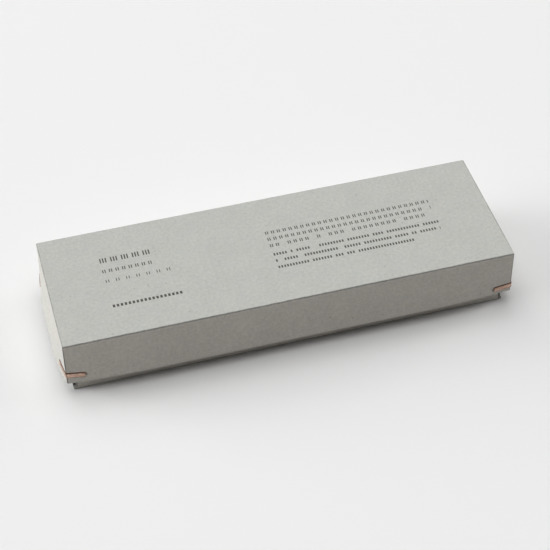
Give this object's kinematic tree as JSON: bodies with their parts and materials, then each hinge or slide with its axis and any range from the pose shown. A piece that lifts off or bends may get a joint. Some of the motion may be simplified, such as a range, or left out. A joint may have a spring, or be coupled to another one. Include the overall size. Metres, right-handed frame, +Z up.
{
  "type": "boxed brass pen case",
  "caption": "Greyboard tray and lift-off lid with stapled corners, holding a hinged brass pen case with a divider.",
  "frame": {"origin": "middle of the underside of the tray, on the surface that the box stands on", "axes": "+X along the box, +Y towards the case's hinges, +Z up"},
  "size_m": [0.205, 0.0686, 0.03],
  "materials": {
    "greyboard": "solid greyboard, matt and uncoated",
    "copper_wire": "copper coated steel wire",
    "brass": "satin"
  },
  "bodies": {
    "tray": {"box_tray": "greyboard", "tray_staple_front_left": "copper_wire", "tray_staple_front_right": "copper_wire", "tray_staple_back_left": "copper_wire", "tray_staple_back_right": "copper_wire"},
    "case": {"case_body": "brass", "case_divider": "brass", "hinge_lower_leaf_left": "brass", "hinge_lower_leaf_right": "brass", "hinge_pin_left": "brass", "hinge_pin_right": "brass"},
    "case_cover": {"case_lid": "brass", "case_thumb_lip": "brass", "hinge_upper_leaf_left": "brass", "hinge_upper_leaf_right": "brass"},
    "lid": {"box_lid": "greyboard", "lid_staple_front_left": "copper_wire", "lid_staple_front_right": "copper_wire", "lid_staple_back_left": "copper_wire", "lid_staple_back_right": "copper_wire"}
  },
  "joints": [
    {"name": "case_lift", "type": "slide", "parent": "tray", "child": "case", "axis": [0, 0, 1], "range_m": [0, 0.045]},
    {"name": "box_lid_lift", "type": "slide", "parent": "case", "child": "lid", "axis": [0, 0, 1], "range_m": [0, 0.09]},
    {"name": "case_hinge", "type": "hinge", "parent": "case", "child": "case_cover", "pos_m": [0, 0.0223, 0.016], "axis": [-1, 0, 0], "range_deg": [0, 90]}
  ],
  "couplings": [
    {"joint": "case_hinge", "follows": "box_lid_lift", "rad_per_m": 17.453}
  ]
}
